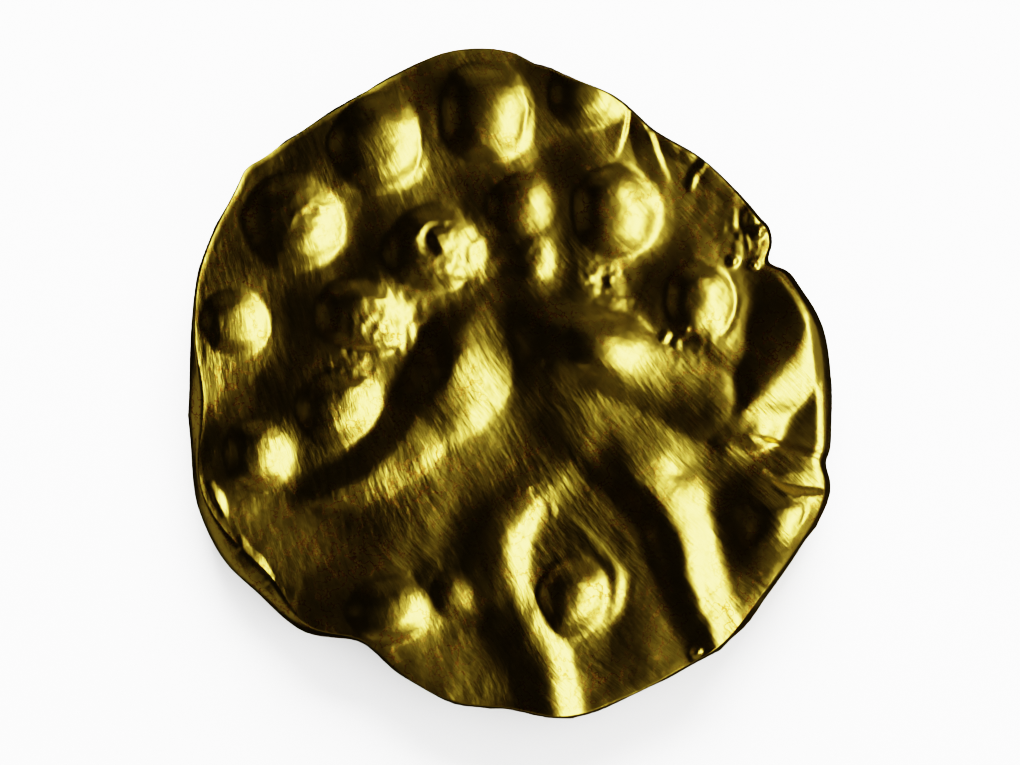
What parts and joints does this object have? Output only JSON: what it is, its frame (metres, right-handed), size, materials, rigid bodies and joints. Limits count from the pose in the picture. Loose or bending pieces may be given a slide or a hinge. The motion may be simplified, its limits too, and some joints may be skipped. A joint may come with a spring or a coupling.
{
  "type": "gold coin",
  "caption": "Small struck gold coin with an irregular lumpy flan, raised pellets and thick curved limbs in relief, lying flat.",
  "frame": {"origin": "under the middle of the coin's bounding box, on the plane its reverse rests on", "axes": "+Z out of the pictured side; +Y towards the top of the picture, across the rows of pellets; +X to its right"},
  "size_m": [0.0072, 0.0076, 0.0011],
  "materials": {
    "gold": "polished, slightly worn struck gold"
  },
  "bodies": {
    "root": {"coin": "gold"}
  },
  "joints": []
}
